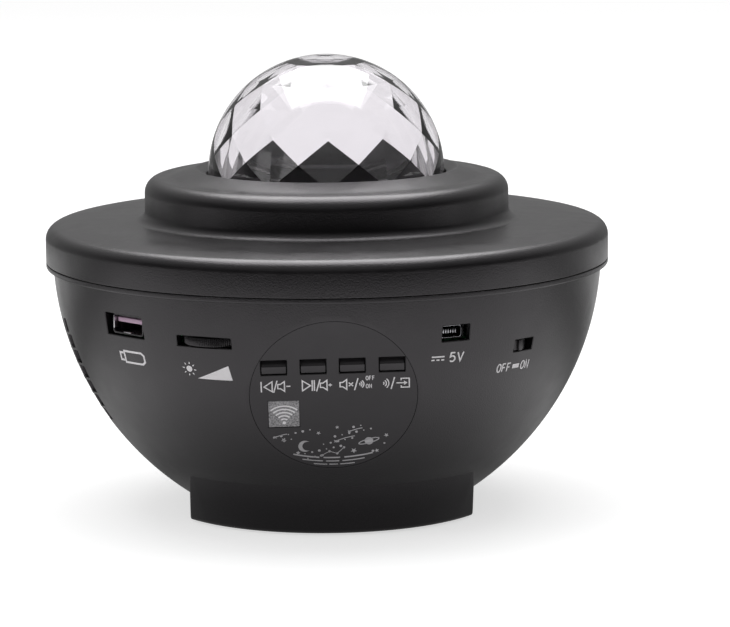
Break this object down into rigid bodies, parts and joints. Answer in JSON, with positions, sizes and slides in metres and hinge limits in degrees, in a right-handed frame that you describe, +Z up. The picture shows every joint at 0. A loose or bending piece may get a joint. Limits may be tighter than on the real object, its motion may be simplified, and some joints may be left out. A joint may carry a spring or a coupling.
{
  "type": "star night light projector",
  "caption": "Bowl-shaped tabletop star projector with a stepped lid, a clear faceted dome, a round control panel, a side speaker and sockets in its wall.",
  "frame": {"origin": "centre of the rest plane under the rubber pads", "axes": "+Z up through the dome, -Y towards the control panel, +X to the right as seen from the front"},
  "size_m": [0.1692, 0.1692, 0.1364],
  "materials": {
    "shell_black": "satin, finely grained",
    "foot_black": "fine matt",
    "dome_clear": "clear, polished",
    "panel_black": "satin, printed",
    "window_smoke": "smoked",
    "button_black": "satin",
    "pad_rubber": "matt",
    "screw_steel": "plated",
    "board_green": "solder mask",
    "chip_black": "moulded",
    "capacitor_blue": "sleeve",
    "module_blue": "solder mask",
    "socket_steel": "plated",
    "socket_pink": "moulded",
    "contact_gold": "plated",
    "inner_black": "matt",
    "switch_grey": "moulded",
    "tact_grey": "plated",
    "ribbon_grey": "flexible",
    "basket_steel": "painted",
    "magnet_dark": "ferrite",
    "cone_paper": "pressed paper",
    "wire_red": "insulated",
    "wire_yellow": "insulated",
    "ripple_clear": "rippled",
    "gear_white": "moulded",
    "motor_steel": "drawn",
    "brass": "turned",
    "lens_clear": "polished",
    "led_white": "white mask",
    "led_yellow": "phosphor",
    "sink_aluminium": "extruded"
  },
  "bodies": {
    "housing": {"bowl_shell": "shell_black", "top_cover": "shell_black", "dome_cover": "dome_clear", "base_foot": "foot_black", "rubber_feet": "pad_rubber", "foot_screws": "screw_steel", "control_panel": "panel_black", "receiver_window": "window_smoke", "ir_receiver": "chip_black", "tact_switches": "tact_grey", "button_board": "board_green", "button_board_screws": "screw_steel", "panel_ribbon": "ribbon_grey", "main_board": "board_green", "main_board_screws": "screw_steel", "board_chips": "chip_black", "board_capacitors": "capacitor_blue", "wireless_module": "module_blue", "usb_shell": "socket_steel", "usb_tongue": "socket_pink", "usb_contacts": "contact_gold", "dc_shell": "socket_steel", "dc_tongue": "inner_black", "switch_body": "switch_grey", "dimmer_body": "switch_grey", "speaker_basket": "basket_steel", "speaker_magnet": "magnet_dark", "speaker_surround": "pad_rubber", "speaker_screws": "screw_steel", "speaker_leads": "wire_red", "optics_deck": "inner_black", "deck_screws": "screw_steel", "black_cup": "inner_black", "cup_screws": "screw_steel", "disc_motor": "motor_steel", "motor_screws": "screw_steel", "laser_module": "brass", "laser_tube": "inner_black", "lens_holder": "inner_black", "holder_screws": "screw_steel", "condenser_lens": "lens_clear", "led_board": "led_white", "led_chips": "led_yellow", "heat_sink": "sink_aluminium", "engine_leads": "wire_yellow"},
    "button_previous_body": {"button_previous": "button_black", "button_plungers_1": "switch_grey"},
    "button_next_body": {"button_next": "button_black", "button_plungers_2": "switch_grey"},
    "button_mute_body": {"button_mute": "button_black", "button_plungers_3": "switch_grey"},
    "button_source_body": {"button_source": "button_black", "button_plungers_4": "switch_grey"},
    "power_knob": {"switch_slider": "button_black"},
    "dimmer": {"dimmer_wheel": "button_black"},
    "cone": {"speaker_cone": "cone_paper"},
    "ripple": {"ripple_disc": "ripple_clear"},
    "grating": {"grating_wheel": "gear_white"},
    "pinion": {"drive_pinion": "gear_white", "motor_shaft": "screw_steel"}
  },
  "joints": [
    {"name": "press_previous", "type": "slide", "parent": "housing", "child": "button_previous_body", "axis": [0, 0.963, 0.2696], "range_m": [0, 0.0006], "stiffness_N_per_m": 1000},
    {"name": "press_next", "type": "slide", "parent": "housing", "child": "button_next_body", "axis": [0, 0.963, 0.2696], "range_m": [0, 0.0006], "stiffness_N_per_m": 1000},
    {"name": "press_mute", "type": "slide", "parent": "housing", "child": "button_mute_body", "axis": [0, 0.963, 0.2696], "range_m": [0, 0.0006], "stiffness_N_per_m": 1000},
    {"name": "press_source", "type": "slide", "parent": "housing", "child": "button_source_body", "axis": [0, 0.963, 0.2696], "range_m": [0, 0.0006], "stiffness_N_per_m": 1000},
    {"name": "power_slide", "type": "slide", "parent": "housing", "child": "power_knob", "axis": [0.7218, 0.6921, 0], "range_m": [0, 0.0026]},
    {"name": "dimmer_turn", "type": "hinge", "parent": "housing", "child": "dimmer", "pos_m": [-0.03304, -0.06429, 0.06145], "axis": [0, 0, 1], "range_deg": [-140, 140]},
    {"name": "cone_travel", "type": "slide", "parent": "housing", "child": "cone", "axis": [0.9049, -0.1272, 0.4061], "range_m": [-0.0008, 0.0008], "stiffness_N_per_m": 1500},
    {"name": "ripple_spin", "type": "hinge", "parent": "housing", "child": "ripple", "pos_m": [0, 0, 0.088], "axis": [0, 0, 1], "continuous": true},
    {"name": "grating_spin", "type": "hinge", "parent": "housing", "child": "grating", "pos_m": [0, 0.0168, 0.082], "axis": [0, 0, 1], "continuous": true},
    {"name": "pinion_spin", "type": "hinge", "parent": "housing", "child": "pinion", "pos_m": [0, 0.028, 0.085], "axis": [0, 0, 1], "continuous": true}
  ],
  "couplings": [
    {"joint": "pinion_spin", "follows": "ripple_spin", "ratio": -6},
    {"joint": "grating_spin", "follows": "ripple_spin", "ratio": 3.3333}
  ]
}
